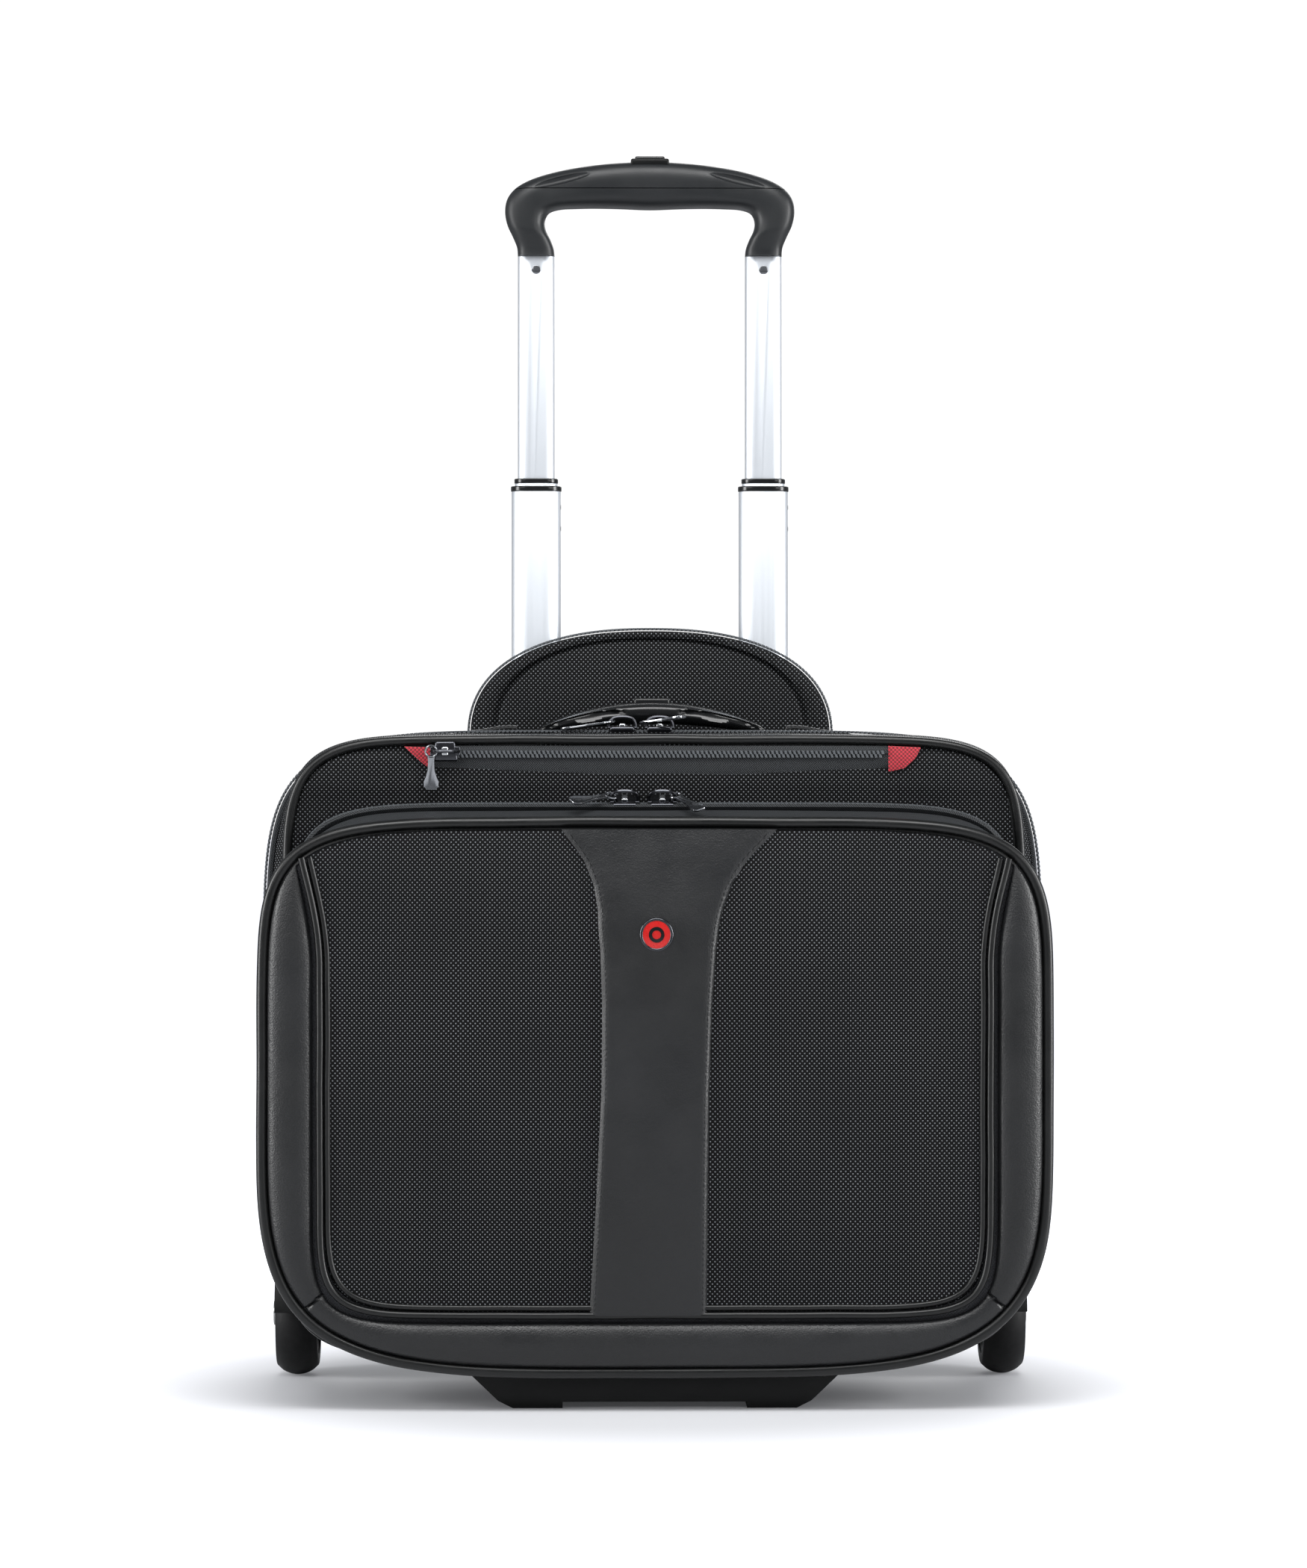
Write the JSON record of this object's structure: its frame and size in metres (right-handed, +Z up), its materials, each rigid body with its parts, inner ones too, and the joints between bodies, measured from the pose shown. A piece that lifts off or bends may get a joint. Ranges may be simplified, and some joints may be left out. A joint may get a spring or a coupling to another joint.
{
  "type": "wheeled pilot case",
  "caption": "Soft black pilot case on skate wheels with a two-stage lid and pocket, carry handle, coil zips and a telescopic trolley handle with a push-button grip.",
  "frame": {"origin": "on the floor, below the middle of the case's width and depth", "axes": "+Z up along the trolley handle, +Y to the back where the handle and the wheels are, +X to the right as seen from the front"},
  "size_m": [0.4316, 0.235, 0.7],
  "materials": {
    "ballistic_fabric": "ballistic nylon weave",
    "lining_fabric": "brushed padding",
    "webbing": "ribbed webbing",
    "zip_tape": "herringbone tape with coil",
    "red_fabric": "plain woven tab",
    "leatherette": "smooth, satin",
    "red_enamel": "gloss",
    "moulded_black": "fine texture",
    "gloss_black": "satin gloss",
    "anodised_aluminium": "satin anodised",
    "steel": "bright zinc",
    "tyre_rubber": "matt",
    "hub_plastic": "moulded",
    "gunmetal": "gunmetal plated"
  },
  "bodies": {
    "case": {"back_panel": "ballistic_fabric", "rear_gusset": "ballistic_fabric", "base_gusset": "ballistic_fabric", "foot_bar": "moulded_black", "wheel_housings": "moulded_black", "axles": "steel", "fixed_channels": "anodised_aluminium", "channel_brackets": "moulded_black", "tube_cover": "ballistic_fabric", "dome_panel": "ballistic_fabric", "dome_zip": "zip_tape", "laptop_divider": "lining_fabric", "main_zip_rear": "zip_tape", "handle_tabs": "webbing"},
    "main_lid": {"lid_gusset": "ballistic_fabric", "main_front_panel": "ballistic_fabric", "main_piping": "leatherette", "lid_zips": "zip_tape", "slot_zip": "zip_tape", "slot_tabs": "red_fabric", "pocket_floor": "ballistic_fabric"},
    "pocket_lid": {"pocket_gusset": "ballistic_fabric", "pocket_panel": "ballistic_fabric", "leather_border": "leatherette", "center_strip": "leatherette", "emblem": "red_enamel", "pocket_piping": "leatherette", "pocket_zip_front": "zip_tape"},
    "carry_handle": {"carry_handle": "gloss_black"},
    "handle_flap": {"handle_flap": "ballistic_fabric", "flap_zip": "zip_tape"},
    "stage_outer": {"outer_tubes": "anodised_aluminium", "outer_collars": "moulded_black", "outer_plugs": "moulded_black"},
    "stage_middle": {"middle_tubes": "anodised_aluminium", "middle_collars": "moulded_black", "middle_plugs": "moulded_black"},
    "stage_inner": {"inner_tubes": "anodised_aluminium", "inner_plugs": "moulded_black", "grip_lower": "gloss_black", "grip_upper": "gloss_black", "grip_screws": "steel"},
    "release_button": {"release_button": "gloss_black", "push_rods": "steel"},
    "wheel_left": {"tyre_left": "tyre_rubber", "hub_left": "hub_plastic", "bearings_left": "steel"},
    "wheel_right": {"tyre_right": "tyre_rubber", "hub_right": "hub_plastic", "bearings_right": "steel"},
    "main_slider_left": {"main_slider_left": "gunmetal"},
    "main_slider_right": {"main_slider_right": "gunmetal"},
    "pocket_slider_left": {"pocket_slider_left": "gunmetal"},
    "pocket_slider_right": {"pocket_slider_right": "gunmetal"},
    "slot_slider": {"slot_slider": "gunmetal"},
    "main_pull_left": {"main_pull_left": "gunmetal"},
    "main_pull_right": {"main_pull_right": "gunmetal"},
    "pocket_pull_left": {"pocket_pull_left": "gunmetal"},
    "pocket_pull_right": {"pocket_pull_right": "gunmetal"},
    "slot_pull": {"slot_pull": "gunmetal"}
  },
  "joints": [
    {"name": "main_lid_hinge", "type": "hinge", "parent": "case", "child": "main_lid", "pos_m": [0, -0.102, 0.024], "axis": [1, 0, 0], "range_deg": [0, 50]},
    {"name": "pocket_lid_hinge", "type": "hinge", "parent": "main_lid", "child": "pocket_lid", "pos_m": [0, -0.102, 0.024], "axis": [1, 0, 0], "range_deg": [0, 38]},
    {"name": "carry_handle_lift", "type": "slide", "parent": "case", "child": "carry_handle", "axis": [0, 0, 1], "range_m": [0, 0.012]},
    {"name": "handle_flap_hinge", "type": "hinge", "parent": "case", "child": "handle_flap", "pos_m": [0, 0.112, 0.3575], "axis": [1, 0, 0], "range_deg": [0, 165]},
    {"name": "outer_tubes_slide", "type": "slide", "parent": "case", "child": "stage_outer", "axis": [0, 0, 1], "range_m": [-0.148, 0.07]},
    {"name": "middle_tubes_slide", "type": "slide", "parent": "stage_outer", "child": "stage_middle", "axis": [0, 0, 1], "range_m": [0, 0.18]},
    {"name": "inner_tubes_slide", "type": "slide", "parent": "stage_middle", "child": "stage_inner", "axis": [0, 0, 1], "range_m": [-0.128, 0.08]},
    {"name": "release_button_push", "type": "slide", "parent": "stage_inner", "child": "release_button", "axis": [0, 0, -1], "range_m": [0, 0.004], "stiffness_N_per_m": 800, "springref_m": -0.004},
    {"name": "wheel_left_spin", "type": "hinge", "parent": "case", "child": "wheel_left", "pos_m": [-0.2017, 0.08, 0.035], "axis": [1, 0, 0], "continuous": true},
    {"name": "wheel_right_spin", "type": "hinge", "parent": "case", "child": "wheel_right", "pos_m": [0.2017, 0.08, 0.035], "axis": [1, 0, 0], "continuous": true},
    {"name": "main_slider_left_run", "type": "slide", "parent": "main_lid", "child": "main_slider_left", "axis": [-1, 0, 0], "range_m": [0, 0.11]},
    {"name": "main_slider_right_run", "type": "slide", "parent": "main_lid", "child": "main_slider_right", "axis": [1, 0, 0], "range_m": [0, 0.11]},
    {"name": "pocket_slider_left_run", "type": "slide", "parent": "pocket_lid", "child": "pocket_slider_left", "axis": [-1, 0, 0], "range_m": [0, 0.06]},
    {"name": "pocket_slider_right_run", "type": "slide", "parent": "pocket_lid", "child": "pocket_slider_right", "axis": [1, 0, 0], "range_m": [0, 0.11]},
    {"name": "slot_slider_run", "type": "slide", "parent": "main_lid", "child": "slot_slider", "axis": [1, 0, 0], "range_m": [0, 0.23]},
    {"name": "main_pull_left_swing", "type": "hinge", "parent": "main_slider_left", "child": "main_pull_left", "pos_m": [-0.02455, -0.02, 0.3727], "axis": [0, 0, 1], "range_deg": [-70, 50]},
    {"name": "main_pull_right_swing", "type": "hinge", "parent": "main_slider_right", "child": "main_pull_right", "pos_m": [-0.00395, -0.02, 0.3727], "axis": [0, 0, 1], "range_deg": [-85, 12]},
    {"name": "pocket_pull_left_swing", "type": "hinge", "parent": "pocket_slider_left", "child": "pocket_pull_left", "pos_m": [-0.02385, -0.07833, 0.33215], "axis": [0, -0.5736, 0.8192], "range_deg": [-45, 62]},
    {"name": "pocket_pull_right_swing", "type": "hinge", "parent": "pocket_slider_right", "child": "pocket_pull_right", "pos_m": [0.01175, -0.07833, 0.33215], "axis": [0, -0.5736, 0.8192], "range_deg": [-85, 75]},
    {"name": "slot_pull_swing", "type": "hinge", "parent": "slot_slider", "child": "slot_pull", "pos_m": [-0.12155, -0.0784, 0.3562], "axis": [0, -1, 0], "range_deg": [-60, 35]}
  ]
}
